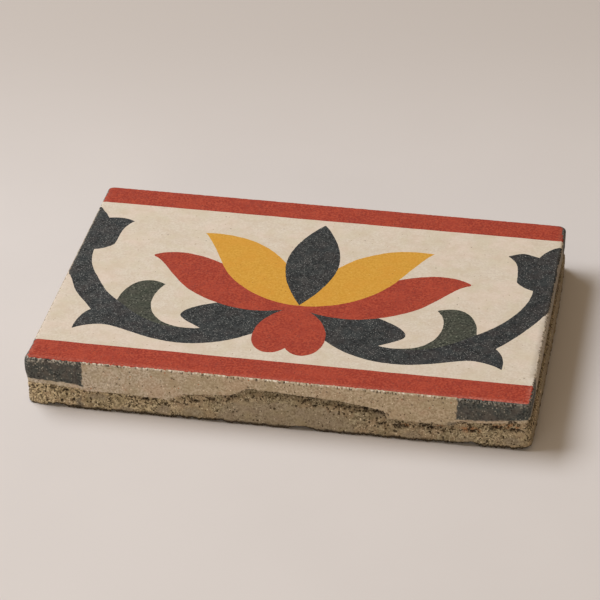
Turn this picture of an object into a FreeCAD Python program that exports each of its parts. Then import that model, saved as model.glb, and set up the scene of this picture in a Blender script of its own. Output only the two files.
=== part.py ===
import FreeCAD, Part
import math
import os

# A border tile of pressed, inlaid cement, lying flat with its patterned face up.
# X runs along the border, -Y is the front edge, Z is up, and the origin is the middle of the bed.
# All lengths are in millimetres.

# The slab
LENGTH = 175.0
WIDTH = 125.0
THICKNESS = 18.0
CORNER_RADIUS = 1.8
FACE_ARRIS = 1.0
BED_ARRIS = 0.5

# The fine facing mortar stands this far proud of the coarse backing below it
FACING_STEP = 0.5

# The inlaid pattern: the plain stripe along each edge, and how far the figure sits off the middle
STRIPE_WIDTH = 12.4
PATTERN_SHIFT = -0.65

# Chips out of the front bed edge: place along it in per cent, and their width and height
CHIP_PLACES = (6, 53, 84.5)
CHIP_WIDTH = 5.5
CHIP_HEIGHT = 0.8
CHIP_SLOPE_DEGREES = 53.0

# Lower edge of the facing on each side, seen from outside and from left to right:
# per cent of the side's length, and per cent of the thickness
FACING_EDGE = {
    "front": [(0, 50), (9, 49), (14, 37), (26, 34), (32, 50), (39, 56), (43, 71), (50, 73),
              (60, 68), (67, 57), (72, 36), (83, 35), (88, 49), (100, 58)],
    "right": [(0, 58), (30, 47), (60, 44), (100, 46)],
    "back": [(0, 46), (30, 40), (60, 47), (100, 43)],
    "left": [(0, 43), (35, 47), (65, 41), (100, 50)],
}

V = FreeCAD.Vector
UP = V(0, 0, 1)


def share(per_cent):
    return per_cent / 100


def slab():
    """Plain slab with rounded upright corners and the sharp arris taken off its patterned face."""
    block = Part.makeBox(LENGTH, WIDTH, THICKNESS, V(-LENGTH / 2, -WIDTH / 2, 0))
    upright = [e for e in block.Edges if abs(e.tangentAt(e.FirstParameter).z) > 0.5]
    block = block.makeFillet(CORNER_RADIUS, upright)
    face = max(block.Faces, key=lambda f: f.CenterOfMass.z)
    return block.makeChamfer(FACE_ARRIS, face.Edges)


def backing_cut(edge_line, side_length):
    """Cuts the coarse backing back under the facing, along one side that faces -Y.

    The shape stands clear of the slab by its thickness at both ends, in front and below.
    """
    clear = THICKNESS
    lip = Part.BSplineCurve()
    lip.interpolate([V((share(x) - 0.5) * side_length, -clear, share(z) * THICKNESS) for x, z in edge_line])
    left, right = lip.StartPoint, lip.EndPoint
    far_left, far_right = left - V(clear, 0, 0), right + V(clear, 0, 0)
    low_left, low_right = V(far_left.x, -clear, -clear), V(far_right.x, -clear, -clear)
    frame = Part.makePolygon([right, far_right, low_right, low_left, far_left, left])
    wire = Part.Wire([lip.toShape()] + frame.Edges)
    return Part.Face(wire).extrude(V(0, clear + FACING_STEP, 0))


def bed_bevel(side_length):
    """Takes the sharp arris off the bed, along one side that faces -Y."""
    clear = THICKNESS
    run = side_length + 2 * clear
    reach = FACING_STEP + BED_ARRIS + clear
    corners = [V(-run / 2, y, z) for y, z in ((-clear, -clear), (reach, -clear), (-clear, reach))]
    return Part.Face(Part.makePolygon(corners + corners[:1])).extrude(V(run, 0, 0))


def bed_chip(along):
    """A shallow scoop out of the bed edge of a side that faces -Y."""
    radius = (CHIP_WIDTH ** 2 / 4 + CHIP_HEIGHT ** 2) / (2 * CHIP_HEIGHT)
    away = radius - CHIP_HEIGHT
    slope = math.radians(CHIP_SLOPE_DEGREES)
    return Part.makeSphere(radius, V(along, FACING_STEP - away * math.cos(slope), -away * math.sin(slope)))


def on_side(shape, name):
    """Moves a shape made for a side that faces -Y, with its face at y = 0, to the named side."""
    quarter_turns = ["front", "right", "back", "left"].index(name)
    reach = LENGTH / 2 if name in ("right", "left") else WIDTH / 2
    moved = shape.translated(V(0, -reach, 0))
    return moved.rotated(V(0, 0, 0), UP, 90 * quarter_turns)


def body():
    """The whole pressed piece, with its stepped sides and broken bed edges."""
    cuts = []
    for name, edge_line in FACING_EDGE.items():
        side_length = WIDTH if name in ("right", "left") else LENGTH
        cuts.append(on_side(backing_cut(edge_line, side_length), name))
        cuts.append(on_side(bed_bevel(side_length), name))
    for place in CHIP_PLACES:
        cuts.append(on_side(bed_chip((share(place) - 0.5) * LENGTH), "front"))
    return slab().cut(cuts)


def grid_point(x, y):
    """Place on the patterned face of a point of the figure.

    The figure is drawn in per cent: x from its axis to the middle of the end's arris,
    y from the field's middle to a stripe.
    """
    reach = LENGTH - FACE_ARRIS
    field = WIDTH - 2 * STRIPE_WIDTH
    return V(share(x) * reach / 2 + PATTERN_SHIFT, share(y) * field / 2, THICKNESS)


def path(start, runs):
    """Edges from the start through the runs: a run of one point is straight, a run of three is a curve."""
    edges = []
    here = start
    for run in runs:
        points = [grid_point(*p) for p in (here, *run)]
        if len(run) == 1:
            edges.append(Part.makeLine(*points))
        else:
            curve = Part.BezierCurve()
            curve.setPoles(points)
            edges.append(curve.toShape())
        here = run[-1]
    return edges


def mirrored(shape):
    """The same shape on the other side of the figure's axis."""
    return shape.mirror(V(PATTERN_SHIFT, 0, 0), V(1, 0, 0))


def pair(start, *runs):
    """Two flat faces, one on each side of the axis, from the outline of the right-hand one."""
    face = Part.Face(Part.Wire(path(start, runs)))
    return [face, mirrored(face)]


def single(start, *runs):
    """One flat face across the axis, from the right-hand half of its outline."""
    half = path(start, runs)
    edges = Part.sortEdges(half + [mirrored(e) for e in half])[0]
    return [Part.Face(Part.Wire(edges))]


def centre_petal():
    return single(
        (0, 93),
        ((6.2, 78), (11, 55.5), (11, 36.5)),
        ((11, 16), (6.3, -5), (0, -23.5)),
    )


def yellow_petals():
    return pair(
        (0, -24),
        ((9.1, 27.5),),
        ((17.7, 54.5), (32, 70), (48.9, 65.7)),
        ((44.1, 54), (40.5, 36.6), (37.1, 24.2)),
        ((31.4, 0), (16.6, -25), (0, -24)),
    )


def heart():
    return single(
        (0, -28.5),
        ((2, -28.5), (3.8, -29.8), (5.1, -31.3)),
        ((10.5, -38.6), (14.7, -52.5), (14.7, -66.3)),
        ((14.7, -80.4), (11, -89.6), (6.6, -89.6)),
        ((3.7, -89.6), (1.4, -86), (0, -81.6)),
    )


def red_petals():
    return pair(
        (0, -20),
        ((34.5, 21),),
        ((45.7, 34.7), (58.3, 39.2), (67, 27.7)),
        ((67.2, 26), (66.5, 25), (65.5, 24.5)),
        ((60.6, 18.2), (57.1, 5.5), (51.4, -7.1)),
        ((46.3, -19.4), (33.1, -35.6), (19.4, -36)),
        ((14.3, -36), (9.1, -34.4), (5.1, -31.3)),
        ((0, -31.3),),
        ((0, -20),),
    )


def leaf_curls():
    return pair(
        (36.2, -66.9),
        ((51.4, -73.3), (59.7, -55.4), (59.7, -33.7)),
        ((59.7, -24.8), (58.3, -17.4), (56.7, -12.7)),
        ((65.1, -3), (72.9, -12.9), (73.7, -40)),
        ((65, -55), (55, -75), (36.2, -66.9)),
    )


def scrolls():
    """Stems that run from the heart past the tile's ends, with a leaf, a thorn and half a bud on each."""
    past_end = 105 + 100 * abs(PATTERN_SHIFT) / LENGTH
    return pair(
        (5.1, -31.3),
        ((31.5, -29.5),),
        ((38.5, -34.3), (45.9, -43), (45.9, -51)),
        ((45.9, -56), (40.5, -61), (36.2, -66.9)),
        ((51.4, -73.3), (59.7, -55.4), (59.7, -33.7)),
        ((59.7, -24.8), (58.3, -17.4), (56.7, -12.7)),
        ((65.1, -3), (72.9, -12.9), (73.7, -40)),
        ((83.6, -24.2), (92, 1), (92.5, 27)),
        ((89.7, 28.2), (86.8, 32), (85.1, 37)),
        ((84.3, 47), (85.8, 63), (80.4, 72.9)),
        ((84, 77.6), (89.1, 77), (92.5, 75)),
        ((94.6, 83), (96.6, 93), (103, 94)),
        ((past_end, 94),),
        ((past_end, 12),),
        ((102.4, 12),),
        ((98, -14.5), (89, -41), (82.4, -55.8)),
        ((85, -60.5), (87.2, -70.5), (86.3, -82)),
        ((82.2, -76.4), (76, -72.4), (70.9, -75.2)),
        ((64.3, -78.6), (54.9, -88.4), (42.9, -88.4)),
        ((31.4, -88.4), (20.6, -78.2), (13.1, -64.4)),
        ((5.1, -31.3),),
    )


def stripes():
    """Plain bands along the front and the back edge."""
    front = Part.makePlane(LENGTH, STRIPE_WIDTH, V(-LENGTH / 2, -WIDTH / 2, THICKNESS))
    return [front, front.translated(V(0, WIDTH - STRIPE_WIDTH, 0))]


def colour_fields(patterned_face):
    """The pattern's colours as flat faces that don't overlap, each trimmed by those laid over it."""
    layers = [stripes(), scrolls(), leaf_curls(), red_petals(), heart(), yellow_petals(), centre_petal()]
    fields = []
    for depth, layer in enumerate(layers):
        above = [face for upper in layers[depth + 1:] for face in upper]
        for face in layer:
            seen = face.cut(above) if above else face
            fields += seen.common(patterned_face).Faces
    return fields


def inlaid(tile):
    """Divides the patterned face along the edges of the colours, with the tile still one piece."""
    patterned_face = max(tile.Faces, key=lambda f: f.CenterOfMass.z)
    joined, _ = tile.generalFuse(colour_fields(patterned_face))
    return joined.Solids[0]


border_tile = inlaid(body())
print("solids", len(border_tile.Solids), "faces", len(border_tile.Faces), "valid", border_tile.isValid())
print("volume", round(border_tile.Volume), "box", border_tile.BoundBox)
os.makedirs("parts", exist_ok=True)
border_tile.exportStep("parts/border_tile.step")
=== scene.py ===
import math
import random

import bpy
import numpy as np
from mathutils import Matrix, Vector
from mathutils.geometry import delaunay_2d_cdt
from mathutils.noise import cell, fractal, noise, noise_vector, seed_set, voronoi


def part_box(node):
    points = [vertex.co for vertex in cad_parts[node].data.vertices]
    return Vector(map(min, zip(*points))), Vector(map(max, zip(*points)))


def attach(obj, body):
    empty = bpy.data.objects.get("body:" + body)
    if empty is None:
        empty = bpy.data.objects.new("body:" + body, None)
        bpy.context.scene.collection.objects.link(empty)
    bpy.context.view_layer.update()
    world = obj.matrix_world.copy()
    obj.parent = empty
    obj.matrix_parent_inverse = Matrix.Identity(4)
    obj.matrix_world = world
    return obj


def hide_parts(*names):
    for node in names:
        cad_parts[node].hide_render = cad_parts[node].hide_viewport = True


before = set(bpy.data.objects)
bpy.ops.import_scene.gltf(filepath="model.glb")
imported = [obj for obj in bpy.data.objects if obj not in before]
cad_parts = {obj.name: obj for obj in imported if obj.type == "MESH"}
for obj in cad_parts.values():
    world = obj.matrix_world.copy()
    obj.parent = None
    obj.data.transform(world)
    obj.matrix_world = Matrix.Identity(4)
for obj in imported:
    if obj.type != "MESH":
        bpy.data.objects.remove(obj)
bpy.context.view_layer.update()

# Lengths in this script are millimetres until a mesh, lamp or camera is made, which is in metres.
MM = 0.001
NODE = "border_tile"
LOW, HIGH = (Vector(corner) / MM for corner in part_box(NODE))
LENGTH, WIDTH, THICKNESS = HIGH - LOW

# The arris of the patterned face, and the plain stripe along each edge
FACE_ARRIS = 1.0
WIDEST_ARRIS = 1.5
STRIPE_WIDTH = 12.4

# How the figure lies on the face: shift and stretch along X, and how far it is out of square
PATTERN_SHIFT = -0.65
FIGURE_STRETCH = 1.006
FIGURE_LEAN = -0.0066
FIGURE_SLOPE = -0.0104

# Radius of the upright corner at the right-hand end of each side, seen from outside
CORNER_RADII = {"front": 1.8, "right": 3.0, "back": 2.2, "left": 1.8}

# Mesh spacing along each side, round a corner, over the patterned face and under the bed
SIDE_PITCH = {"front": 0.32, "right": 0.4, "back": 0.8, "left": 0.8}
SIDE_ROWS = 58
CORNER_STEPS = 5
CURVE_PITCH = 0.7
FACE_PITCH = 3.5
FACE_MARGIN = 3.0
EDGE_GAP = 0.9
BED_PITCH = 1.8
BED_MARGIN = 2.6
WELD = 1e-4

# Seeds of the scattered mesh points and of the noise that makes the pattern's edges wander
SCATTER_SEED = 11
NOISE_SEED = 7
seed_set(NOISE_SEED)

# Upright profile of the sides: turns of the arris in degrees, the gap under it, the lowest row of the wall,
# and (inset, height) of the rows of the foot
ARRIS_TURNS = (0, 15, 30, 45, 60, 75, 90)
UNDER_ARRIS = 0.3
LOWEST_ROW = 1.2
FOOT_ROWS = [(0.0, 0.7), (0.03, 0.35), (0.12, 0.12), (0.4, 0.03), (1.3, 0.0)]

# Relief of the sides and the bed: size of the broken grains, height of the hollow, and depths
GRAIN_SIZE = 0.9
HOLLOW_HEIGHT = 2.6
GRAIN_DEPTH = 0.3
LUMP_DEPTH = 0.35
PINHOLE_DEPTH = 0.25
VOID_DEPTH = 0.45
ARRIS_CHIP_DEPTH = 0.12
ARRIS_PIT_DEPTH = 0.35
BED_PORE_DEPTH = 0.5

# How high and how far in the broken bed edge reaches, and where paste is looked for under the arris
FOOT_HEIGHT = 3.0
BED_EDGE_REACH = 3.5
PASTE_LEVEL = 16.0
# Half the blur at the ends of a run of paste, in per cent of the side
PASTE_BLUR = 0.12

SIDES = ("front", "right", "back", "left")

# Tables for the sides, seen from outside and from left to right: per cent of the side's length, and a value.
# A side that has one value all along is written as that value.
# Height of the lower edge of the fine facing
FACING_EDGE = {
    "front": [(0, 8.2), (10, 7.3), (11.4, 6.8), (12.3, 6.3), (18.6, 6.6), (28.9, 6), (30, 7.4), (32.9, 8.9),
              (41.4, 10.3), (44.6, 13.5), (52.9, 13.1), (58.6, 12.5), (64.3, 11.8), (69.5, 10.6),
              (71.6, 9.6), (72.3, 7), (83.7, 6.7), (85.5, 8.2), (91.7, 9.1), (96, 9.9), (100, 11)],
    "right": [(0, 11.6), (8, 10.8), (30, 11.2), (60, 11.5), (100, 10)],
    "back": [(0, 10), (30, 7.6), (60, 8.5), (100, 7.7)],
    "left": [(0, 7.7), (35, 8.5), (65, 7.4), (100, 9.6)],
}
# How far the facing swells out past the slab's outline
FACING_SWELL = {
    "front": [(0, 0.7), (2, 0.45), (5, 0), (100, 0)],
    "right": 0,
    "back": 0,
    "left": [(0, 0), (94, 0), (98, 0.5), (100, 0.7)],
}
# Depth of the hollow just under the facing's edge
HOLLOW_DEPTH = {
    "front": [(0, -0.25), (11, -0.15), (13, 0.2), (28, 0.3), (31, 0.5), (41, 0.8), (45, 1.3), (58, 1.3),
              (66, 1.2), (71, 0.9), (73, 0.4), (84, 0.5), (88, 0.25), (100, 0.25)],
    "right": [(0, 0.3), (10, 0.8), (50, 1), (90, 0.8), (100, 0.4)],
    "back": [(0, 0.4), (40, 0.8), (100, 0.4)],
    "left": [(0, 0.4), (55, 0.7), (100, 0.3)],
}
# Height up to which a smooth grey slurry covers the backing; zero is none
SLURRY_TOP = {
    "front": [(0, 0), (38.4, 0), (39.2, 5.5), (41.4, 7.2), (44.3, 8.4), (50, 9), (60.3, 8.4), (63.7, 7.5),
              (65.4, 4), (66.6, 0), (100, 0)],
    "right": [(0, 0), (3, 5), (30, 7.5), (80, 8), (100, 6)],
    "back": [(0, 0), (35, 5), (60, 4), (85, 0), (100, 0)],
    "left": [(0, 0), (25, 0), (50, 4.5), (75, 3), (100, 0)],
}
# How far the foot of the backing spreads past the facing
FOOT_SPREAD = {
    "front": [(0, -0.2), (1, 0.6), (3, 1.6), (12, 1.9), (35, 1.7), (60, 1.4), (97, 0.9), (100, 0.8)],
    "right": [(0, 0.7), (4, 1), (20, 1.2), (60, 1.2), (80, 0.9), (93, 0.5), (100, 0.2)],
    "back": [(0, 0.2), (50, 0.3), (100, 0.2)],
    "left": [(0, 0.2), (50, 0.3), (88, 0.2), (95, -0.5), (98.5, -0.8), (100, -0.3)],
}
# Height at which the foot has spread all the way
SPREAD_HEIGHT = {"front": 2, "right": 6, "back": 2, "left": 2}
# How strong the painted shade in the hollow under the facing is, from 0 to 1, and the depths between which
# that sets in
HOLLOW_SHADE = {"front": 0.42, "right": 0.62, "back": 0.5, "left": 0.5}
SHADED_DEPTHS = {"front": (0.2, 1.2), "right": (0.02, 0.14), "back": (0.1, 0.6), "left": (0.1, 0.6)}
# Height of the broken bed edge above the floor
BED_EDGE = {
    "front": [(0, 0.2), (1.5, 0), (4, 0), (5, 0.7), (6.3, 1.1), (7.4, 0.7), (8.5, 0.1), (33, 0.1),
              (37.5, 0.2), (39.5, 0.8), (41, 0.1), (52, 0.1), (54, 1), (55.5, 1.4), (57, 0.9), (58.5, 0.1),
              (80, 0.1), (85, 0.4), (87.5, 1.1), (89.5, 0.7), (91, 0.1), (97, 0.2), (100, 1.2)],
    "right": [(0, 1.3), (3, 0.3), (40, 0.2), (44, 0.7), (48, 0.2), (97, 0.3), (100, 1.2)],
    "back": [(0, 1.2), (3, 0.3), (30, 0.7), (33, 0.2), (70, 0.2), (74, 0.8), (78, 0.2), (97, 0.3),
             (100, 1.2)],
    "left": [(0, 1.2), (3, 0.3), (55, 0.2), (60, 0.7), (64, 0.2), (97, 0.3), (100, 1.3)],
}
# Stretches where charcoal paste ran down over the facing, in per cent
PASTE_RUNS = {
    "front": [(-5, 11.5), (85.7, 105)],
    "right": [(-5, 14), (90, 105)],
    "back": [(-5, 13.5), (87.5, 105)],
    "left": [(-5, 9), (90, 105)],
}
# Height that the paste ran down to
PASTE_FOOT = {
    "front": [(0, 9.8), (10, 8.8), (11.6, 8), (85, 8.8), (86, 9.6), (91.7, 10.2), (100, 12.1)],
    "right": [(0, 12.8), (8, 12), (14, 11.5), (90, 12), (100, 10)],
    "back": 10,
    "left": [(0, 9), (30, 11), (60, 10), (100, 9.8)],
}
# How thick a film of paste is smeared over the rest of the facing, from 0 to 1
PASTE_FILM = {
    "front": 0,
    "right": [(0, 0.1), (12, 0.1), (25, 0.15), (45, 0.2), (54, 0.5), (88, 0.5), (92, 0.35), (100, 0.6)],
    "back": [(0, 0.4), (10, 0.2), (20, 0), (80, 0), (100, 0.2)],
    "left": [(0, 0.4), (12, 0.45), (46, 0.45), (55, 0.2), (75, 0.15), (94, 0.1), (100, 0)],
}
# Width of the arris of the patterned face
ARRIS_WIDTH = {
    "front": FACE_ARRIS,
    "right": [(0, FACE_ARRIS), (9, 1.05), (14, 1.2), (30, 1.2), (40, 1.1), (90, 1.1), (100, 1.4)],
    "back": [(0, 1.4), (5, FACE_ARRIS), (100, FACE_ARRIS)],
    "left": FACE_ARRIS,
}
# How much of the arris the pattern's colours have lost: 0 is none of it, 1 is all
ARRIS_WORN = {
    "front": [(0, 0.4), (20, 0.4), (25, 0.7), (100, 0.75)],
    "right": [(0, 0.7), (5, 0.6), (9, 0.5), (14, 0.45), (45, 0.45), (52, 0.2), (90, 0.2), (93, 0.6),
              (96, 0.9), (100, 0.9)],
    "back": [(0, 0.9), (2, 0.6), (100, 0.6)],
    "left": 0.6,
}
# How far the rim of the patterned face is rubbed pale, from 0 to 1
RIM_RUBBED = {
    "front": [(0, 0.3), (84, 0.3), (88, 0.8), (100, 0.8)],
    "right": [(0, 0.5), (12, 0.5), (16, 0.1), (90, 0.1), (100, 0)],
    "back": 0,
    "left": [(0, 0), (10, 0.25), (90, 0.25), (100, 0.3)],
}
# How pale the mortar of the facing and the backing is, from 0 to 1; on the right end this paleness is partly
# painted light, brightening an end that faces away from the lamp
MORTAR_PALE_AND_LIT = {
    "front": [(0, 1), (12, 0.8), (28, 0.5), (40, 0.1), (60, 0), (84, 0), (90, 0.3), (100, 0.3)],
    "right": [(0, 1), (100, 0.9)],
    "back": 0.3,
    "left": [(0, 0.3), (90, 0.3), (100, 1)],
}
# Height up to which painted shade darkens the foot, standing in for the contact shadow under the bed edge
FOOT_SHADE_HEIGHT = {
    "front": [(0, 0.4), (4, 0.4), (7, 1.2), (100, 1.2)],
    "right": 1.2,
    "back": 1.2,
    "left": [(0, 1.2), (92, 1.2), (97, 0.4), (100, 0.4)],
}
# How strongly the arris of the patterned face is chipped and pitted, from 0 to 1
ARRIS_CHIPPED = {
    "front": [(0, 1), (84, 1), (87, 0.5), (100, 0.5)],
    "right": [(0, 0.6), (48, 0.6), (54, 0.15), (100, 0.1)],
    "back": [(0, 0.1), (6, 0.4), (100, 0.4)],
    "left": 0.3,
}
# How far the rim of the patterned face is darkened, from 0 to 1: painted shade along the right end, which
# faces away from the lamp, with some soiling
RIM_SHADE_AND_SOIL = {
    "front": 0,
    "right": [(0, 0), (13, 0.05), (15, 0.3), (48, 0.3), (54, 0.05), (90, 0.05), (92, 0.3), (100, 0.2)],
    "back": [(0, 0.1), (6, 0), (100, 0)],
    "left": 0,
}
# The tables, by the names that a column of the sides keeps their values under
SIDE_TABLES = {
    "arris": ARRIS_WIDTH, "worn": ARRIS_WORN, "rubbed": RIM_RUBBED, "soiled": RIM_SHADE_AND_SOIL,
    "chipped": ARRIS_CHIPPED, "swell": FACING_SWELL, "lip": FACING_EDGE, "hollow": HOLLOW_DEPTH,
    "paste_foot": PASTE_FOOT, "film": PASTE_FILM, "slurry_top": SLURRY_TOP, "spread": FOOT_SPREAD,
    "bed_edge": BED_EDGE, "pale": MORTAR_PALE_AND_LIT, "damp": FOOT_SHADE_HEIGHT,
}

# Marks on the front, each an oval: distance along from the middle, height, half width, half height
# The voids sink into the front, and painted shade darkens them
FRONT_VOIDS = [
    (32.2, 9.9, 2.3, 0.95), (34.6, 9.6, 2.3, 0.95), (37.4, 8.8, 1.9, 0.6), (23, 10.1, 1.5, 0.45),
    (25.5, 9.6, 1.3, 0.5), (28.4, 9.1, 1.7, 0.6), (36.9, 5.2, 1.7, 0.5), (43.3, 4.5, 2.4, 0.55),
    (55.3, 5, 2.9, 0.55), (51, 5.6, 1.5, 0.5), (65, 8.4, 2.2, 0.5), (73, 8.5, 1.6, 0.45),
    (81.8, 10.4, 1.5, 1), (77, 7.8, 2.8, 0.6), (82.5, 7.4, 3.2, 0.6), (68.5, 5.6, 2.4, 0.45),
    (74.8, 6.8, 1.6, 0.35), (-45, 5.3, 1.5, 0.6), (-49.2, 5.7, 1.3, 0.35), (-35.5, 5.6, 1.2, 0.4),
    (-78.2, 6.3, 1.6, 0.4), (-73, 6, 1.3, 0.4), (-81.3, 6.7, 0.9, 0.4), (-70.4, 3.2, 0.6, 0.6),
    (-74.5, 2.6, 0.6, 0.5), (-15, 9.2, 1.1, 0.6), (-9.5, 9.1, 0.8, 0.4), (14, 9.3, 0.9, 0.4),
    (-22, 7.6, 1.3, 0.35), (-27.5, 6.6, 1.9, 0.4),
]
FRONT_SMOOTH_BLOBS = [
    (-62, 4.6, 4.2, 1.2), (-51.5, 1.5, 4.2, 1.2), (-38.5, 2.4, 3.2, 1.8), (-28, 2.8, 4.4, 2.1),
    (81.5, 3.2, 4.2, 1.8), (36.5, 8.2, 2.4, 1.1), (48, 2.2, 4, 1.3), (66, 2.2, 3.6, 1.4),
]
FRONT_RUST = [
    (81, 8.6, 4.2, 1.7), (67.5, 6, 4.8, 1.3), (76, 8, 2.4, 1), (45, 5, 2, 0.7),
    (57, 6.2, 1.6, 0.6),
]
FRONT_SMEARS = [(-68.4, 2.1, 1.5, 2.4), (60.6, 7.4, 2, 1.3)]

# The pattern: outlines in per cent, x from the figure's axis to the middle of the end's arris,
# y from the field's middle to a stripe.
# An outline is its start and its runs: a run of one point is straight, a run of three is a curve.
CENTRE_PETAL = [
    (0, 93),
    [(6.2, 78), (11, 55.5), (11, 36.5)],
    [(11, 16), (6.3, -5), (0, -23.5)],
]
YELLOW_PETAL = [
    (0, -24),
    [(9.1, 27.5)],
    [(17.7, 54.5), (32, 70), (48.9, 65.7)],
    [(44.1, 54), (40.5, 36.6), (37.1, 24.2)],
    [(31.4, 0), (16.6, -25), (0, -24)],
]
HEART = [
    (0, -28.5),
    [(2, -28.5), (3.8, -29.8), (5.1, -31.3)],
    [(10.5, -38.6), (14.7, -52.5), (14.7, -66.3)],
    [(14.7, -80.4), (11, -89.6), (6.6, -89.6)],
    [(3.7, -89.6), (1.4, -86), (0, -81.6)],
]
RED_PETAL = [
    (0, -20),
    [(34.5, 21)],
    [(45.7, 34.7), (58.3, 39.2), (67, 27.7)],
    [(67.2, 26), (66.5, 25), (65.5, 24.5)],
    [(60.6, 18.2), (57.1, 5.5), (51.4, -7.1)],
    [(46.3, -19.4), (33.1, -35.6), (19.4, -36)],
    [(14.3, -36), (9.1, -34.4), (5.1, -31.3)],
    [(0, -31.3)],
    [(0, -20)],
]
# Edge of the curled leaf, which the stem shares
CURL_EDGE = [
    [(51.4, -73.3), (59.7, -55.4), (59.7, -33.7)],
    [(59.7, -24.8), (58.3, -17.4), (56.7, -12.7)],
    [(65.1, -3), (72.9, -12.9), (73.7, -40)],
]
CURL = [
    (36.2, -66.9),
    *CURL_EDGE,
    [(65, -55), (55, -75), (36.2, -66.9)],
]
SCROLL = [
    (5.1, -31.3),
    [(31.5, -29.5)],
    [(38.5, -34.3), (45.9, -43), (45.9, -51)],
    [(45.9, -56), (40.5, -61), (36.2, -66.9)],
    *CURL_EDGE,
    [(83.6, -24.2), (92, 1), (92.5, 27)],
    [(89.7, 28.2), (86.8, 32), (85.1, 37)],
    [(84.3, 47), (85.8, 63), (80.4, 72.9)],
    [(84, 77.6), (89.1, 77), (92.5, 75)],
    [(94.6, 83), (96.6, 93), (103, 94)],
    [(106, 94)],
    [(106, 12)],
    [(102.4, 12)],
    [(98, -14.5), (89, -41), (82.4, -55.8)],
    [(85, -60.5), (87.2, -70.5), (86.3, -82)],
    [(82.2, -76.4), (76, -72.4), (70.9, -75.2)],
    [(64.3, -78.6), (54.9, -88.4), (42.9, -88.4)],
    [(31.4, -88.4), (20.6, -78.2), (13.1, -64.4)],
    [(5.1, -31.3)],
]
# Laid one over the other, the last on top: outline, colour, and a pair or a single shape across the axis
LAYERS = [
    (SCROLL, "charcoal", "pair"),
    (CURL, "green", "pair"),
    (RED_PETAL, "red", "pair"),
    (HEART, "red", "single"),
    (YELLOW_PETAL, "yellow", "pair"),
    (CENTRE_PETAL, "charcoal", "single"),
]
# Where the figure on the tile stands off its drawing: place (x, y), reach, and shift (x, y)
OFF_DRAWING = [
    (69.5, 35.8, 4, -0.8, 0), (74, 37.8, 2.8, 0, 1.1), (49, -6.9, 3, -0.55, 0),
    (-59.4, 14.5, 4, 0.45, 0), (-71.2, 37.2, 3, -0.36, 0), (-84, 44, 2, -0.45, -0.3),
    (-75.9, -40.3, 4, -0.27, -0.6), (-75, -6.8, 6.5, 0.75, 0), (-80.5, -16.5, 8, -0.85, 0),
]
COLOURS = ("cream", "red", "yellow", "charcoal", "green")
MORTAR_SLOT = len(COLOURS)


def smooth(low, high, value):
    """Rises from 0 at low to 1 at high, without corners; low may be the larger."""
    t = min(max((value - low) / (high - low), 0.0), 1.0)
    return t * t * (3 - 2 * t)


def along(table, side, share):
    """Value of one of the sides' tables at a share of the side's length."""
    line = table[side]
    if isinstance(line, (int, float)):
        return float(line)
    shares, values = zip(*line)
    return float(np.interp(share * 100, shares, values))


def oval(x, z, marks, ragged, soft=0.6):
    """How well inside one of some oval marks a place lies, from 0 to 1.

    Ragged frays their edges and soft blurs them.
    """
    best = 0.0
    for middle_x, middle_z, half_width, half_height in marks:
        dx, dz = (x - middle_x) / half_width, (z - middle_z) / half_height
        if abs(dx) < 1.5 and abs(dz) < 2.0:
            best = max(best, smooth(1.1, 1.1 - soft, math.hypot(dx, dz) + ragged))
    return best


def pattern_point(x, y):
    """Place of a point of the drawing, measured from the figure's axis."""
    reach = LENGTH - FACE_ARRIS
    field = WIDTH - 2 * STRIPE_WIDTH
    return np.array([x / 100 * reach / 2, y / 100 * field / 2])


def sampled(outline):
    """Points along an outline, on the right of the axis and measured from it."""
    here = pattern_point(*outline[0])
    points = [here]
    for run in outline[1:]:
        poles = [here] + [pattern_point(*p) for p in run]
        reach = sum(np.linalg.norm(b - a) for a, b in zip(poles, poles[1:]))
        steps = max(2, round(reach / CURVE_PITCH))
        for t in np.linspace(0, 1, steps + 1)[1:]:
            if len(run) == 1:
                points.append(poles[0] * (1 - t) + poles[1] * t)
            else:
                weights = ((1 - t) ** 3, 3 * t * (1 - t) ** 2, 3 * t * t * (1 - t), t ** 3)
                points.append(sum(w * p for w, p in zip(weights, poles)))
        here = poles[-1]
    return np.array(points)


def askew(points):
    """Places a shape of the figure on the tile, as far out of true as the mould left it."""
    x, y = points.T
    return np.stack([FIGURE_STRETCH * x + FIGURE_LEAN * y + PATTERN_SHIFT, y + FIGURE_SLOPE * x], axis=1)


def off_drawing(points):
    """Moves the figure's edges where they stand off the drawing."""
    for x, y, reach, shift_x, shift_y in OFF_DRAWING:
        near = np.exp(-np.sum((points - (x, y)) ** 2, axis=1) / reach ** 2)
        points = points + near[:, None] * (shift_x, shift_y)
    return points


def hand_made(points):
    """Lets an edge between two colours wander a little, the same way for both."""
    def wander(x, y):
        slow = noise_vector((x * 0.16, y * 0.16, 3.1)) * 0.16
        quick = noise_vector((x * 0.9, y * 0.9, 8.7)) * 0.1
        return x + slow.x + quick.x, y + slow.y + quick.y
    return np.array([wander(x, y) for x, y in points])


def pattern_loops():
    """Each colour's closed outlines on the tile, in the order they are laid."""
    loops = []
    mirror = np.array([-1, 1])
    for outline, colour, kind in LAYERS:
        points = sampled(outline)
        if kind == "single":
            shapes = [np.concatenate([points, (points * mirror)[::-1][1:-1]])]
        else:
            shapes = [points, points * mirror]
        for shape in shapes:
            if np.allclose(shape[0], shape[-1]):
                shape = shape[:-1]
            loops.append((hand_made(off_drawing(askew(shape))), colour))
    return loops


def inside(points, loop):
    """Which points lie inside a closed loop."""
    hit = np.zeros(len(points), bool)
    x, y = points[:, 0], points[:, 1]
    for (x0, y0), (x1, y1) in zip(loop, np.roll(loop, -1, axis=0)):
        crosses = (y0 > y) != (y1 > y)
        if crosses.any():
            hit ^= crosses & (x < x0 + (y - y0) * (x1 - x0) / (y1 - y0 if y1 != y0 else 1e-9))
    return hit


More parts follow.
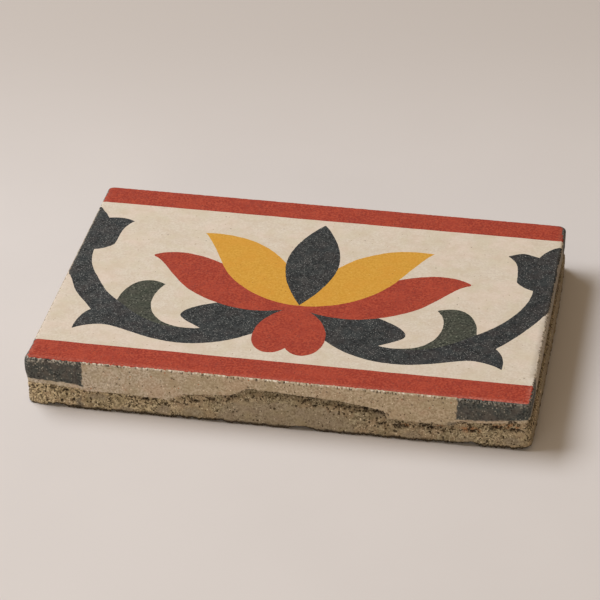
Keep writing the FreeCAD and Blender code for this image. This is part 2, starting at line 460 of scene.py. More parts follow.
def stripe_edge(x, sign):
    """Inner edge of a stripe, which wanders a little."""
    wander = noise((x * 0.12, sign * 5.0, 1.7)) * 0.14 + noise((x * 0.8, sign * 5.0, 4.2)) * 0.07
    return sign * (WIDTH / 2 - STRIPE_WIDTH) + wander


def face_colours(points, loops):
    """Index in COLOURS of the pattern at each point of the face."""
    index = np.zeros(len(points), int)
    for loop, colour in loops:
        index[inside(points, loop)] = COLOURS.index(colour)
    edges = np.array([(stripe_edge(x, -1), stripe_edge(x, 1)) for x in points[:, 0]])
    striped = (points[:, 1] < edges[:, 0]) | (points[:, 1] > edges[:, 1])
    index[striped] = COLOURS.index("red")
    return index


class Column:
    """One upright line of the tile's sides: its place, the way it faces, and what the tables say there."""

    def __init__(self, side, share, place, facing):
        self.side = side
        self.share = share
        self.place = place
        self.facing = facing
        self.run = share * (LENGTH if side in ("front", "back") else WIDTH)
        self.off_middle = self.run - LENGTH / 2
        self.under_dark = False
        for name, table in SIDE_TABLES.items():
            setattr(self, name, along(table, side, share))


def columns():
    """Upright lines round the tile, anticlockwise from the front left corner."""
    ring = []
    for turn, side in enumerate(SIDES):
        side_length, reach = (LENGTH, WIDTH / 2) if turn % 2 == 0 else (WIDTH, LENGTH / 2)
        start, radius = CORNER_RADII[SIDES[turn - 1]], CORNER_RADII[side]
        flat = side_length - start - radius
        spin = Matrix.Rotation(math.radians(90 * turn), 2)
        steps = round(flat / SIDE_PITCH[side])
        for i in range(steps):
            x = start + flat * i / steps
            place = spin @ Vector((x - side_length / 2, -reach))
            ring.append(Column(side, x / side_length, place, spin @ Vector((0, -1))))
        centre = spin @ Vector((side_length / 2 - radius, -reach + radius))
        next_side = SIDES[(turn + 1) % 4]
        next_length = WIDTH if side_length == LENGTH else LENGTH
        for i in range(CORNER_STEPS):
            angle = math.pi / 2 * i / CORNER_STEPS
            facing = spin @ Vector((math.sin(angle), -math.cos(angle)))
            bend = radius * (1 - abs(1 - 2 * i / CORNER_STEPS))
            if 2 * i < CORNER_STEPS:
                on_side, share = side, 1 - (radius - bend) / side_length
            else:
                on_side, share = next_side, (radius - bend) / next_length
            ring.append(Column(on_side, share, centre + facing * radius, facing))
    return ring


def profile():
    """Rows of a side's upright profile from the face down, as (inset, height), and how many the arris has."""
    turns = np.radians(ARRIS_TURNS)
    arris = [(FACE_ARRIS * (1 - math.sin(t)), THICKNESS - FACE_ARRIS * (1 - math.cos(t))) for t in turns]
    count = SIDE_ROWS - len(arris) - len(FOOT_ROWS)
    heights = np.linspace(THICKNESS - FACE_ARRIS - UNDER_ARRIS, LOWEST_ROW, count)
    return arris + [(0.0, float(z)) for z in heights] + FOOT_ROWS, len(arris)


def pores(place, size, radius, share):
    """How deep a place lies in a pore, from 0 to 1, for round pores in a share of the cells."""
    distances, points = voronoi(place / size)
    if 0.5 + 0.5 * cell(points[0] * 7.3) > share:
        return 0.0
    return max(0.0, 1.0 - distances[0] * size / radius)


def grain_gap(place, size):
    """How near a place lies to the gap between broken grains of a size, from 0 to 1."""
    distances, _ = voronoi(place / size)
    return smooth(0.3, 0.05, distances[1] - distances[0])


def facing_surface(place):
    """Depth of the fine facing, and the painted shade in its pinholes."""
    pinhole = pores(place, 2.0, 0.42, 0.55)
    depth = 0.06 + 0.05 * noise(place * 0.35) + 0.04 * noise(place * 1.9)
    depth += PINHOLE_DEPTH * pinhole
    return depth, 0.9 * smooth(0.1, 0.5, pinhole)


def backing_surface(column, place, lip):
    """Depth of the coarse backing, and its masks: slurry cover, share of open pores, painted shade of the
    hollow.
    """
    z = place.z
    ragged = 0.3 * noise(place * 0.9)
    slurry = 0.0
    if column.slurry_top:
        slurry = smooth(0.3, -0.3, z - column.slurry_top + 1.2 * noise(place * 0.4))
    if column.side == "front":
        slurry = max(slurry, oval(column.off_middle, z, FRONT_SMOOTH_BLOBS, ragged))
    rough = 1 - 0.85 * slurry
    hollow_foot = max(column.slurry_top, lip - HOLLOW_HEIGHT)
    hollow = column.hollow * smooth(hollow_foot - 1.2, hollow_foot + 1.2, z)
    spread = column.spread * smooth(lip - 1.5, SPREAD_HEIGHT[column.side], z)
    lumps = LUMP_DEPTH * fractal(place * 0.33, 1.0, 2.1, 3)
    depth = 0.12 + hollow - spread + lumps
    depth += rough * (0.2 * noise(place * 1.4) + GRAIN_DEPTH * grain_gap(place, GRAIN_SIZE))
    broken = smooth(lip + 0.2, lip - 0.4, z) * smooth(hollow_foot - 1.2, hollow_foot + 0.4, z)
    porosity = rough * (0.07 + 0.18 * broken * smooth(-0.6, 0.2, noise(place * 0.3)))
    shade = HOLLOW_SHADE[column.side] * smooth(*SHADED_DEPTHS[column.side], hollow)
    return depth, (slurry, porosity, shade)


def arris_wear(column, place):
    """Pale chips along the arris of the patterned face, and pits sunk into it that painted shade darkens."""
    z, run = place.z, column.run
    dull = column.chipped * (0.5 if column.under_dark else 1.0)
    if column.side == "front":
        height = THICKNESS - 0.28 + 0.1 * noise((run * 0.5, 2.0, 0.0))
        beat = 0.6 * noise((run * 0.5, 9.0, 0.0)) + 0.9 * noise((run * 1.9, 4.0, 0.5 * z))
        chip = smooth(0.24, 0.06, abs(z - height)) * smooth(0.0, 0.22, beat)
        gap = 0.5 * noise((run * 0.5, 21.0, 0.0)) + noise((run * 1.9, 15.0, 0.4 * z))
        dark = smooth(0.42, 0.16, abs(z - height + 0.26)) * smooth(0.15, 0.35, gap)
        if column.under_dark:
            frayed = smooth(THICKNESS - 1.8, THICKNESS - 0.7, z)
            frayed *= smooth(THICKNESS - 0.2, THICKNESS - 0.5, z)
            chip = max(chip, frayed * smooth(0.05, 0.35, noise(place * 1.7)))
    else:
        band = smooth(THICKNESS - 1.5, THICKNESS - 0.9, z) * smooth(THICKNESS, THICKNESS - 0.05, z)
        chip = band * smooth(-0.05, 0.15, noise(place * 1.3))
        dark = column.chipped * band * smooth(0.1, 0.45, pores(place, 0.95, 0.55, 0.75))
    return dull * chip * (1 - dark), dark


def paste_cover(column, place):
    """How much charcoal paste lies on a place of the facing, from 0 to 1."""
    share = column.share * 100 + 0.35 * noise(place * 0.6) + 0.15 * noise(place * 2.2)
    cover = 0.0
    for start, stop in PASTE_RUNS[column.side]:
        begun = smooth(start - PASTE_BLUR, start + PASTE_BLUR, share)
        cover = max(cover, begun * smooth(stop + PASTE_BLUR, stop - PASTE_BLUR, share))
    cover *= smooth(-0.15, 0.15, place.z - column.paste_foot + 0.3 * noise(place * 0.7))
    return max(cover, min(column.film * (0.9 + 0.6 * noise(place * 0.9)), 1.0))


def side_relief(column, z):
    """Depth of a place on a side below the slab's outline, and the masks that its material reads."""
    place = Vector((*column.place, z))
    fray = 0.22 * noise(place * 0.55) + 0.16 * noise(place * 1.7)
    fray += 0.1 * noise(place * 3.6)
    lip = column.lip + fray
    facing = smooth(-0.1, 0.12, z - lip)
    fine_depth, fine_pit_shade = facing_surface(place)
    fine_depth -= column.swell * smooth(lip - 1.0, lip + 4.0, z) * smooth(THICKNESS, THICKNESS - 1.2, z)
    coarse_depth, (slurry, porosity, shade) = backing_surface(column, place, lip)
    depth = facing * fine_depth + (1 - facing) * coarse_depth
    chip, dark = arris_wear(column, place)
    depth += ARRIS_CHIP_DEPTH * chip + ARRIS_PIT_DEPTH * dark
    # Painted shade: a dark band along the foot stands in for the contact shadow under the bed edge
    damp = column.damp + 0.35 * noise((column.run * 0.25, 7.0, 0.0))
    damp += 0.15 * noise((column.run * 0.9, 3.0, 0.0))
    pit_shade_and_soil = max(facing * fine_pit_shade, dark, 0.95 * smooth(damp + 0.25, damp - 0.25, z))
    paste = facing * paste_cover(column, place) * (1 - 0.5 * chip)
    rust = 0.0
    if column.side == "front":
        ragged = 0.5 * noise(place * 0.8)
        jagged = 0.5 * ragged + 0.35 * noise(place * 2.2)
        opened = oval(column.off_middle, z, FRONT_VOIDS, jagged, 0.25)
        opened *= smooth(-0.35, 0.0, noise(place * 1.5))
        depth += VOID_DEPTH * opened
        # Painted shade in the open voids
        pit_shade_and_soil = max(pit_shade_and_soil, opened)
        paste = max(paste, 0.5 * oval(column.off_middle, z, FRONT_SMEARS, ragged))
        rust = (1 - facing) * oval(column.off_middle, z, FRONT_RUST, ragged)
        rust *= smooth(-0.3, 0.2, noise(place * 0.8))
    return depth, (facing, pit_shade_and_soil, chip, paste, slurry * (1 - facing), rust, porosity, shade, column.pale)


def bed_lift(column, inset):
    """How far the broken bed edge is lifted off the floor."""
    x, y = column.place
    broken = 1.8 * max(noise((x * 0.22, y * 0.22, 2.0)) - 0.2, 0.0)
    ragged = broken + 0.9 * max(noise((x * 0.7, y * 0.7, 5.0)) - 0.1, 0.0)
    return (column.bed_edge + ragged) * smooth(BED_EDGE_REACH, 0.0, inset)


def bed_height(x, y):
    """Pores and shallow hollows in the rough bed, above its resting plane."""
    place = Vector((x, y, 0.0))
    hollow = 0.12 * max(fractal(place * 0.11, 1.0, 2.0, 3), 0.0)
    return hollow + BED_PORE_DEPTH * pores(place, 5.5, 1.6, 0.35) + 0.1 * max(noise(place * 0.8), 0.0)


def fill(ring, lines, dots):
    """Triangles inside a ring: their corners, and the corner that each ring point became."""
    points = [Vector(p) for p in ring]
    edges = [(i, (i + 1) % len(ring)) for i in range(len(ring))]
    for line in lines:
        first = len(points)
        points += [Vector(p) for p in line]
        edges += [(first + i, first + i + 1) for i in range(len(line) - 1)]
    points += [Vector(p) for p in dots]
    corners, _, faces, origins, _, _ = delaunay_2d_cdt(points, edges, [], 0, WELD)
    ring_corner = {}
    for corner, sources in enumerate(origins):
        for source in sources:
            if source < len(ring):
                ring_corner[source] = corner
    corners = np.array([tuple(c) for c in corners])
    middles = np.array([corners[list(f)].mean(axis=0) for f in faces])
    within = inside(middles, np.array(ring))
    return corners, [f for f, kept in zip(faces, within) if kept], ring_corner


def scatter(pitch, margin, keep_off=None, gap=0.0):
    """Jittered points over the tile, clear of its edge and of the points to keep off."""
    draw = random.Random(SCATTER_SEED)
    dots = []
    half_x, half_y = LENGTH / 2 - margin, WIDTH / 2 - margin
    for x in np.arange(-half_x, half_x, pitch):
        for y in np.arange(-half_y, half_y, pitch):
            dots.append((x + pitch * draw.uniform(0.2, 0.8), y + pitch * draw.uniform(0.2, 0.8)))
    dots = np.array([d for d in dots if abs(d[0]) < half_x and abs(d[1]) < half_y])
    if keep_off is None:
        return dots
    clear = [np.min(np.sum((keep_off - d) ** 2, axis=1)) > gap * gap for d in dots]
    return dots[np.array(clear)]


def pattern_lines(loops, ring):
    """Edges of the colours as open lines that end on the ring's own points."""
    ring = np.array(ring)
    half_x = LENGTH / 2 - WIDEST_ARRIS - 0.25
    lines = []

    def on_ring(point):
        return ring[np.argmin(np.sum((ring - point) ** 2, axis=1))]

    for loop, _ in loops:
        kept = np.abs(loop[:, 0]) < half_x
        if kept.all():
            lines.append(np.concatenate([loop, loop[:1]]))
            continue
        start = next(i for i in range(len(loop)) if kept[i] and not kept[i - 1])
        turned, flags = np.roll(loop, -start, axis=0), np.roll(kept, -start)
        line = []
        for i in range(len(turned)):
            if flags[i]:
                if not line:
                    line.append(on_ring(turned[i - 1]))
                line.append(turned[i])
            elif line:
                line.append(on_ring(turned[i]))
                lines.append(np.array(line))
                line = []
        if line:
            lines.append(np.array(line + [on_ring(turned[0])]))
    for sign in (-1, 1):
        xs = np.linspace(-half_x, half_x, round(2 * half_x / CURVE_PITCH))
        line = [(x, stripe_edge(x, sign)) for x in xs]
        lines.append(np.array([on_ring(line[0])] + line + [on_ring(line[-1])]))
    return lines


class TileMesh:
    """Corners, faces and masks of the whole tile while it is put together."""

    def __init__(self):
        self.corners = []
        self.masks = []
        self.faces = []
        self.slots = []
        self.flat = []
        self.uvs = []

    def corner(self, place, masks):
        self.corners.append(place)
        self.masks.append(masks)
        return len(self.corners) - 1

    def face(self, corners, slot, uv, flat=False):
        self.faces.append(corners)
        self.slots.append(slot)
        self.uvs.append(uv)
        self.flat.append(flat)


# Places on the square texture sheet, as (left, low, width, height): the face, a strip for each side, the bed
SHEET = {
    "face": (0.004, 0.396, 0.84, 0.6),
    "front": (0.004, 0.29, 0.992, 0.1),
    "back": (0.004, 0.21, 0.992, 0.074),
    "right": (0.85, 0.396, 0.07, 0.6),
    "left": (0.926, 0.396, 0.07, 0.6),
    "bed": (0.004, 0.004, 0.29, 0.2),
}


def sheet_place(name, across, up):
    """Place on the texture sheet of a share across and up one of its fields."""
    left, low, width, height = SHEET[name]
    if name in ("right", "left"):
        across, up = up, across
    return left + width * across, low + height * up


def flat_uv(name, x, y):
    """Place on the texture sheet of a point of the face or the bed."""
    return sheet_place(name, x / LENGTH + 0.5, y / WIDTH + 0.5)


def arris_slots(tile, ring, grid, rows, i, loops):
    """Material of each quad in a row of the arris: the pattern's colour, or mortar where it is worn off."""
    corners = np.array([tile.corners[c][:2] for c in grid[i]])
    middles = (corners + np.roll(corners, -1, axis=0)) / 2
    kept = (rows[i][0] + rows[i + 1][0]) / 2 / FACE_ARRIS
    slots = []
    for column, (x, y), colour in zip(ring, middles, face_colours(middles, loops)):
        worn = column.worn + (0.25 if column.side == "front" else 0.5) * noise((x * 0.9, y * 0.9, 6.0))
        slots.append(int(colour) if kept > worn else MORTAR_SLOT)
    return slots


# Masks of the patterned face, how far in from its rim the wear fades out, and masks of the bed, with the pore
# depth at which the painted shade of a pore is full and the most it reaches
BARE_FACE = (1.0,) + 8 * (0.0,)
WORN_WIDTH = 1.7
BED_SLURRY = 0.35
BED_POROSITY = 0.2
DARK_PORE = 0.45
DARKEST_PORE = 0.8


def build_tile():
    """The whole tile as one closed mesh."""
    tile = TileMesh()
    ring = columns()
    rows, arris_rows = profile()
    count = len(ring)
    loops = pattern_loops()
    inner = np.array([c.place - c.facing * FACE_ARRIS for c in ring])
    for column, colour in zip(ring, face_colours(inner, loops)):
        pasted = paste_cover(column, Vector((*column.place, PASTE_LEVEL))) > 0.5
        column.under_dark = pasted or COLOURS[colour] == "charcoal"

    # Sides, row by row from the face down to the bed
    grid = []
    for i, (inset, z) in enumerate(rows):
        row = []
        for column in ring:
            depth, masks = side_relief(column, z)
            if i == 0:
                # On the rim the relief mask holds the rim's painted shade with some soiling, and how far it
                # is rubbed
                depth, masks = 0.0, (1.0, column.soiled, column.rubbed, masks[3]) + BARE_FACE[4:]
            if i < arris_rows:
                depth += inset * (column.arris / FACE_ARRIS - 1)
            foot = smooth(FOOT_HEIGHT, 0.0, z)
            height = z + bed_lift(column, inset) * foot * foot
            spot = column.place - column.facing * (inset + depth)
            row.append(tile.corner((spot.x, spot.y, height), masks))
        grid.append(row)
    for i in range(len(rows) - 1):
        slots = [MORTAR_SLOT] * count
        if i < arris_rows - 1:
            slots = arris_slots(tile, ring, grid, rows, i, loops)
        for j in range(count):
            k = (j + 1) % count
            side = ring[j].side
            stop = ring[k].share if ring[k].side == side else 1.0
            span = ((ring[j].share, i), (ring[j].share, i + 1), (stop, i + 1), (stop, i))
            uv = [sheet_place(side, share, 1 - row / (len(rows) - 1)) for share, row in span]
            tile.face((grid[i][j], grid[i + 1][j], grid[i + 1][k], grid[i][k]), slots[j], uv)

    # Patterned face
    rim = [tile.corners[c][:2] for c in grid[0]]
    lines = pattern_lines(loops, rim)
    worn_edge = [c.place - c.facing * (c.arris + WORN_WIDTH) for c in ring[::4]]
    dots = np.concatenate([np.array([tuple(p) for p in worn_edge]),
                           scatter(FACE_PITCH, FACE_MARGIN, np.concatenate(lines), EDGE_GAP)])
    points, triangles, ring_corner = fill(rim, lines, dots)
    lookup = {ring_corner[j]: grid[0][j] for j in range(count)}
    for i, (x, y) in enumerate(points):
        if i not in lookup:
            lookup[i] = tile.corner((x, y, THICKNESS), BARE_FACE)
    middles = np.array([points[list(t)].mean(axis=0) for t in triangles])
    for t, slot in zip(triangles, face_colours(middles, loops)):
        tile.face([lookup[i] for i in t], int(slot), [flat_uv("face", *points[i]) for i in t], flat=True)

    # Bed
    rim = [tile.corners[c][:2] for c in grid[-1]]
    points, triangles, ring_corner = fill(rim, [], scatter(BED_PITCH, BED_MARGIN))
    lookup = {ring_corner[j]: grid[-1][j] for j in range(count)}
    for i, (x, y) in enumerate(points):
        if i not in lookup:
            height = bed_height(x, y)
            # Painted shade in the bed's pores, darker where they are deeper
            pit_shade_and_soil = min(height / DARK_PORE, DARKEST_PORE)
            masks = (0.0, pit_shade_and_soil, 0.0, 0.0, BED_SLURRY, 0.0, BED_POROSITY, 0.0, 0.0)
            lookup[i] = tile.corner((x, y, height), masks)
    for t in triangles:
        turned = t[::-1]
        tile.face([lookup[i] for i in turned], MORTAR_SLOT, [flat_uv("bed", *points[i]) for i in turned])
    return tile


def placed(name, data):
    """A new object in the scene."""
    thing = bpy.data.objects.new(name, data)
    bpy.context.scene.collection.objects.link(thing)
    return thing


def mesh_object(tile, materials):
    """Blender object of the tile, with its masks as three colour attributes and its texture sheet."""
    mesh = bpy.data.meshes.new("border_tile_pressed")
    mesh.from_pydata([tuple(v * MM for v in c) for c in tile.corners], [], tile.faces)
    for material in materials:
        mesh.materials.append(material)
    mesh.polygons.foreach_set("material_index", tile.slots)
    mesh.polygons.foreach_set("use_smooth", [not f for f in tile.flat])
    masks = np.array(tile.masks)
    for name, first in (("relief", 0), ("stain", 3), ("rubble", 6)):
        layer = mesh.attributes.new(name, "FLOAT_COLOR", "POINT")
        rgba = np.ones((len(masks), 4))
        rgba[:, :3] = masks[:, first:first + 3]
        layer.data.foreach_set("color", rgba.ravel())
    sheet = mesh.uv_layers.new(name="OFBake")
    sheet.data.foreach_set("uv", np.array([p for uv in tile.uvs for p in uv]).ravel())
    mesh.update()
    return placed("border_tile_pressed", mesh)


def linear(red, green, blue):
    """Colour as light, from its 0 to 255 display values."""
    def one(value):
        value /= 255
        return value / 12.92 if value <= 0.04045 else ((value + 0.055) / 1.055) ** 2.4
    return one(red), one(green), one(blue), 1.0


class Nodes:
    """Adds and joins the nodes of one material."""

    def __init__(self, name):
        self.material = bpy.data.materials.new(name)
        self.material.use_nodes = True
        self.tree = self.material.node_tree
        self.tree.nodes.clear()
        output = self.tree.nodes.new("ShaderNodeOutputMaterial")
        self.shader = self.tree.nodes.new("ShaderNodeBsdfPrincipled")
        self.join(self.shader.outputs["BSDF"], output.inputs["Surface"])
        self.place = self.tree.nodes.new("ShaderNodeTexCoord").outputs["Object"]

    def join(self, source, target):
        self.tree.links.new(source, target)

    def put(self, value, target):
        """Joins an output to a socket, or sets the socket to a plain value."""
        if hasattr(value, "is_output"):
            self.join(value, target)
        else:
            target.default_value = value

    def add(self, kind, inputs):
        """A new node, with its inputs joined to outputs or set to plain values."""
        node = self.tree.nodes.new("ShaderNode" + kind)
        for name, value in inputs.items():
            self.put(value, node.inputs[name])
        return node

    def distance(self, direction):
        """Distance along a direction, in metres."""
        node = self.add("VectorMath", {0: self.place, 1: direction})
        node.operation = "DOT_PRODUCT"
        return node.outputs["Value"]

    def noise(self, size, detail=2.0, roughness=0.5):
        """Noise from 0 to 1 with features of a size in millimetres."""
        node = self.add("TexNoise", {"Vector": self.place, "Scale": 1 / (size * MM),
                                     "Detail": detail, "Roughness": roughness})
        return node.outputs["Fac"]

    def cells(self, size):
        """Distance to the middle of the nearest cell, in cells, and that cell's random colour."""
        node = self.add("TexVoronoi", {"Vector": self.place, "Scale": 1 / (size * MM)})
        return node.outputs["Distance"], node.outputs["Color"]

    def ramp(self, value, low, high, to_low=0.0, to_high=1.0):
        """A value mapped from one range to another and kept inside it."""
        node = self.add("MapRange", {"Value": value, "From Min": low, "From Max": high,
                                     "To Min": to_low, "To Max": to_high})
        node.interpolation_type = "SMOOTHSTEP"
        return node.outputs["Result"]

    def math(self, operation, first, second):
        """One value worked out from two."""
        node = self.add("Math", {0: first, 1: second})
        node.operation = operation
        return node.outputs[0]

    def mix(self, factor, first, second, blend="MIX"):
        """One colour laid over another."""
        node = self.tree.nodes.new("ShaderNodeMix")
        node.data_type = "RGBA"
        node.blend_type = blend
        self.put(factor, node.inputs["Factor"])
        self.put(first, node.inputs["A"])
        self.put(second, node.inputs["B"])
        return node.outputs["Result"]

    def split(self, colour):
        """The three channels of a colour."""
        node = self.add("SeparateColor", {"Color": colour})
        return node.outputs["Red"], node.outputs["Green"], node.outputs["Blue"]

    def channels(self, attribute):
        """The three masks kept in a colour attribute."""
        node = self.tree.nodes.new("ShaderNodeAttribute")
        node.attribute_name = attribute
        return self.split(node.outputs["Color"])

    def chance(self, size):
        """A random value from 0 to 1 for each broken grain of a size."""
        return self.split(self.cells(size)[1])[0]

    def specks(self, size, radius, share):
        """Round specks in a share of the cells, from 0 to 1."""
        distance, colour = self.cells(size)
        chosen = self.math("LESS_THAN", self.split(colour)[0], share)
        return self.math("MULTIPLY", chosen, self.ramp(distance, radius / size, radius / size * 0.4))

    def dusted(self, tone, clouds, specks):
        """A tone with soft clouds over it, and specks over them.

        A cloud is (colour, size, cover at most), specks (colour, size of a cell, radius, share).
        """
        for colour, size, cover in clouds:
            cloudy = self.ramp(self.noise(size, 3.0, 0.6), 0.42, 0.66, 0.0, cover)
            tone = self.mix(cloudy, tone, linear(*colour))
        for colour, size, radius, share in specks:
            tone = self.mix(self.specks(size, radius, share), tone, linear(*colour))
        return tone

    def bump(self, height, distance, strength):
        """Fine roughness of the surface, as deep as a distance in millimetres."""
        node = self.add("Bump", {"Height": height, "Distance": distance * MM, "Strength": strength})
        self.join(node.outputs["Normal"], self.shader.inputs["Normal"])

    def finish(self, colour, roughness):
        """Gives the shader its colour and roughness, and returns the material."""
        self.put(colour, self.shader.inputs["Base Color"])
        self.put(roughness, self.shader.inputs["Roughness"])
        self.shader.inputs["Specular IOR Level"].default_value = 0.3
        return self.material


def pigment(name, deep, pale, worn, clouds, specks, holes, dust=0.0):
    """A dense coloured cement paste: grained, cloudy, specked, with a few pinholes and rubbed edges.

    The grain swings between the deep and the pale tone. Dust is how much of it lies on the left end.
    """
    nodes = Nodes(name)
    _, pit_shade_and_soil, wear = nodes.channels("relief")
    grain = nodes.ramp(nodes.noise(0.85, 2.0, 0.6), 0.36, 0.64)
    tone = nodes.dusted(nodes.mix(grain, linear(*deep), linear(*pale)), clouds, specks)
    if dust:
        leftwards = nodes.ramp(nodes.distance((-1.0, 0.0, 0.0)), -0.06, 0.08, 0.0, dust)
        dusty = nodes.math("MULTIPLY", leftwards, nodes.specks(0.45, 0.23, 0.55))
        tone = nodes.mix(dusty, tone, linear(154, 154, 151))
    rubbed = nodes.math("MULTIPLY", wear, nodes.ramp(nodes.noise(0.9, 3.0, 0.7), 0.38, 0.6))
    tone = nodes.mix(rubbed, tone, linear(*worn))
    pinholes = nodes.specks(4.0, 0.3, holes)
    # Pinholes darken the paste, and so does the mesh's painted shade in pits and on the rim, with the rim's
    # soiling
    holed = nodes.math("MAXIMUM", nodes.math("MULTIPLY", pinholes, 0.7), pit_shade_and_soil)
    tone = nodes.mix(holed, tone, linear(84, 68, 52))
    height = nodes.math("SUBTRACT", nodes.noise(0.45, 3.0, 0.6), nodes.math("MULTIPLY", pinholes, 2.0))
    nodes.bump(height, 0.06, 0.7)
    return nodes.finish(tone, nodes.ramp(nodes.noise(3.0, 3.0), 0.3, 0.7, 0.74, 0.88))


def mortar():
    """Bare cement mortar of the sides and the bed, coloured by the masks kept on the mesh."""
    nodes = Nodes("mortar")
    facing, pit_shade_and_soil, chip = nodes.channels("relief")
    paste, slurry, rust = nodes.channels("stain")
    porosity, shade, pale = nodes.channels("rubble")
    grain = nodes.chance(0.5)
    sand = nodes.ramp(nodes.noise(0.75, 3.0, 0.65), 0.36, 0.64)

    # The pale mask lightens the sand and grains; on the right end that is partly painted light
    light_sand = nodes.mix(pale, linear(199, 181, 156), linear(210, 198, 182))
    deep_sand = nodes.mix(pale, linear(157, 138, 112), linear(167, 153, 135))
    fine = nodes.dusted(
        nodes.mix(sand, light_sand, deep_sand),
        [((184, 155, 130), 6.0, 0.45), ((168, 152, 122), 9.0, 0.5)],
        [((78, 58, 38), 1.6, 0.34, 0.4), ((232, 216, 192), 1.4, 0.3, 0.35), ((172, 118, 84), 2.4, 0.4, 0.3)])
    deep = nodes.mix(pale, linear(117, 104, 81), linear(108, 93, 70))
    bright = nodes.mix(pale, linear(184, 169, 141), linear(226, 205, 166))
    coarse = nodes.dusted(
        nodes.mix(nodes.ramp(grain, 0.1, 1.0), deep, bright),
        [((186, 158, 130), 5.0, 0.45), ((146, 130, 100), 8.0, 0.5)],
        [((226, 210, 182), 0.9, 0.3, 0.35), ((64, 48, 30), 1.2, 0.28, 0.2)])
    smooth_grey = nodes.dusted(
        nodes.mix(sand, linear(166, 152, 130), linear(125, 110, 89)),
        [((154, 139, 106), 7.0, 0.5), ((150, 132, 114), 4.0, 0.4)],
        [((76, 61, 42), 1.2, 0.36, 0.4), ((200, 184, 160), 1.3, 0.32, 0.35)])
    dark = nodes.dusted(
        nodes.mix(sand, linear(90, 90, 86), linear(42, 45, 45)),
        [((82, 70, 69), 6.0, 0.4), ((62, 72, 72), 4.5, 0.5), ((118, 112, 102), 3.0, 0.3)],
        [((180, 174, 162), 1.0, 0.28, 0.2), ((28, 29, 28), 1.0, 0.34, 0.35)])
    scuffed = nodes.math("MULTIPLY", nodes.specks(0.8, 0.34, 0.55), nodes.ramp(nodes.noise(4.5), 0.42, 0.58))
    dark = nodes.mix(scuffed, dark, linear(158, 152, 141))
    coarse = nodes.mix(nodes.math("MULTIPLY", rust, 0.6), coarse, linear(168, 106, 58))
    coarse = nodes.mix(nodes.math("MULTIPLY", slurry, 0.9), coarse, smooth_grey)
    open_pore = nodes.math("LESS_THAN", nodes.chance(0.62), porosity)
    coarse = nodes.mix(nodes.math("MULTIPLY", open_pore, 0.85), coarse, linear(54, 40, 25))
    # Painted shade darkens the backing in the hollow under the facing
    coarse = nodes.mix(shade, coarse, linear(156, 149, 138), "MULTIPLY")

    tone = nodes.mix(facing, coarse, fine)
    tone = nodes.mix(paste, tone, dark)
    # Painted shade in pores, pits, voids and along the foot, with some soiling on the rim
    tone = nodes.mix(nodes.math("MULTIPLY", pit_shade_and_soil, 0.95), tone, linear(38, 26, 14))
    tone = nodes.mix(nodes.math("MULTIPLY", chip, 0.95), tone, linear(248, 239, 224))
    rough_grain = nodes.math("MULTIPLY", nodes.ramp(facing, 0.0, 1.0, 1.0, 0.4), nodes.noise(0.5, 4.0, 0.7))
    nodes.bump(rough_grain, 0.3, 0.9)
    return nodes.finish(tone, nodes.ramp(sand, 0.0, 1.0, 0.84, 0.95))


def tile_materials():
    """One material for each colour of the pattern, in the order of COLOURS, and the mortar."""
    cream = pigment(
        "cream_paste", deep=(213, 199, 181), pale=(224, 212, 195), worn=(234, 226, 213),
        clouds=[((229, 208, 192), 14.0, 0.5), ((212, 200, 174), 9.0, 0.5), ((203, 182, 158), 4.0, 0.3)],
        specks=[((178, 156, 130), 2.0, 0.3, 0.3), ((150, 136, 120), 3.6, 0.35, 0.25)], holes=0.12)
    red = pigment(
        "red_paste", deep=(149, 47, 30), pale=(182, 76, 51), worn=(212, 136, 118),
        clouds=[((180, 71, 48), 10.0, 0.5), ((152, 52, 38), 4.0, 0.4)],
        specks=[((214, 122, 97), 0.8, 0.27, 0.3), ((106, 35, 25), 0.8, 0.27, 0.35)], holes=0.05)
    yellow = pigment(
        "yellow_paste", deep=(206, 150, 48), pale=(220, 165, 64), worn=(228, 186, 112),
        clouds=[((216, 153, 52), 8.0, 0.5)],
        specks=[((168, 116, 42), 1.8, 0.3, 0.3), ((232, 188, 102), 1.7, 0.28, 0.3)], holes=0.06)
    charcoal = pigment(
        "charcoal_paste", deep=(11, 14, 16), pale=(55, 58, 59), worn=(108, 104, 96),
        clouds=[((50, 56, 58), 7.0, 0.5), ((63, 56, 55), 5.0, 0.45), ((92, 94, 90), 3.5, 0.15)],
        specks=[((102, 101, 98), 1.0, 0.34, 0.36), ((14, 16, 18), 1.0, 0.34, 0.5),
                ((148, 147, 143), 0.45, 0.2, 0.25)], holes=0.0, dust=0.3)
    green = pigment(
        "green_paste", deep=(36, 40, 32), pale=(88, 90, 78), worn=(114, 112, 100),
        clouds=[((62, 68, 55), 6.0, 0.5), ((78, 75, 65), 4.0, 0.4)],
        specks=[((136, 136, 121), 1.0, 0.3, 0.45), ((27, 29, 24), 0.95, 0.3, 0.5)], holes=0.0)
    return [cream, red, yellow, charcoal, green, mortar()]


FLOOR_HALF = 4.0


def stage():
    """Pale floor under the tile, with painted shade that darkens it towards the back, where the light falls
    off.
    """
    nodes = Nodes("floor_paper")
    soft = nodes.ramp(nodes.noise(60.0, 3.0), 0.3, 0.7)
    paper = nodes.mix(soft, linear(221, 214, 210), linear(219, 212, 208))
    # Painted shade: the floor darkens towards the back and a little to the left, as the light falls off
    falloff_shade = nodes.ramp(nodes.distance((-0.2, 1.0, 0.0)), 0.05, 0.3)
    nodes.finish(nodes.mix(falloff_shade, paper, linear(198, 189, 182)), 0.9)
    mesh = bpy.data.meshes.new("floor")
    signs = ((-1, -1), (1, -1), (1, 1), (-1, 1))
    mesh.from_pydata([(x * FLOOR_HALF, y * FLOOR_HALF, 0) for x, y in signs], [], [(0, 1, 2, 3)])
    mesh.materials.append(nodes.material)
    floor = placed("floor", mesh)


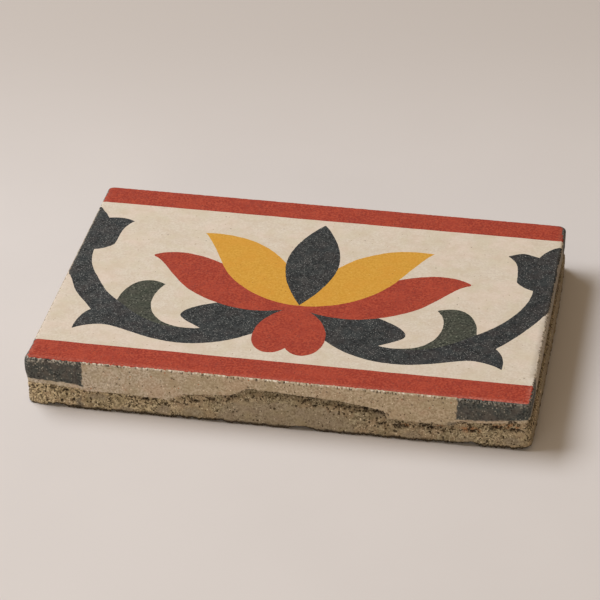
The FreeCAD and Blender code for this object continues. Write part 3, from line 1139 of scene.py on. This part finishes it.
def area_lamp(name, place, aim, wide, high, power, colour):
    """An oval lamp, in metres and watts."""
    lamp = bpy.data.lights.new(name, "AREA")
    lamp.shape = "ELLIPSE"
    lamp.size = wide
    lamp.size_y = high
    lamp.energy = power
    lamp.color = colour
    holder = placed(name, lamp)
    holder.location = place
    holder.rotation_euler = (Vector(aim) - Vector(place)).to_track_quat("-Z", "Y").to_euler()


def light():
    """A wide soft lamp high on the left, a weak low one in front, and even light all round."""
    area_lamp("key", place=(-1.67, 0.48, 1.86), aim=(-0.38, 0.09, 0.0),
              wide=2.5, high=1.12, power=67.0, colour=(0.895, 0.94, 1.0))
    area_lamp("fill", place=(-0.35, -1.3, 0.26), aim=(0.0, 0.0, 0.0),
              wide=0.9, high=0.44, power=4.5, colour=(1.0, 0.94, 0.84))
    world = bpy.data.worlds.new("studio")
    bpy.context.scene.world = world
    world.use_nodes = True
    sky = world.node_tree.nodes["Background"]
    sky.inputs["Color"].default_value = (1.0, 0.79, 0.55, 1.0)
    sky.inputs["Strength"].default_value = 0.3


# The camera, in degrees and millimetres; aside is how far the tile's origin lies right of and above its axis
CAMERA_AZIMUTH = 10.18
CAMERA_ELEVATION = 30.91
CAMERA_DISTANCE = 1016.1
CAMERA_ASIDE = (2.28, -11.4)
FOCAL_PIXELS = 2809.0
PICTURE_PIXELS = 600
SENSOR_WIDTH = 36.0


def camera():
    """The camera at the viewing angle of the picture."""
    azimuth, elevation = math.radians(CAMERA_AZIMUTH), math.radians(CAMERA_ELEVATION)
    level = math.cos(elevation)
    back = Vector((math.sin(azimuth) * level, -math.cos(azimuth) * level, math.sin(elevation)))
    right = Vector((math.cos(azimuth), math.sin(azimuth), 0.0))
    up = back.cross(right)
    lens = bpy.data.cameras.new("camera")
    lens.sensor_width = SENSOR_WIDTH
    lens.lens = FOCAL_PIXELS / PICTURE_PIXELS * SENSOR_WIDTH
    lens.clip_start = 0.01
    holder = placed("camera", lens)
    place = back * CAMERA_DISTANCE - right * CAMERA_ASIDE[0] - up * CAMERA_ASIDE[1]
    holder.matrix_world = Matrix.Translation(place * MM) @ Matrix((right, up, back)).transposed().to_4x4()
    bpy.context.scene.camera = holder


piece = mesh_object(build_tile(), tile_materials())
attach(piece, "root")
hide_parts(NODE)
stage()
light()
camera()
bpy.context.scene.view_settings.view_transform = "Standard"
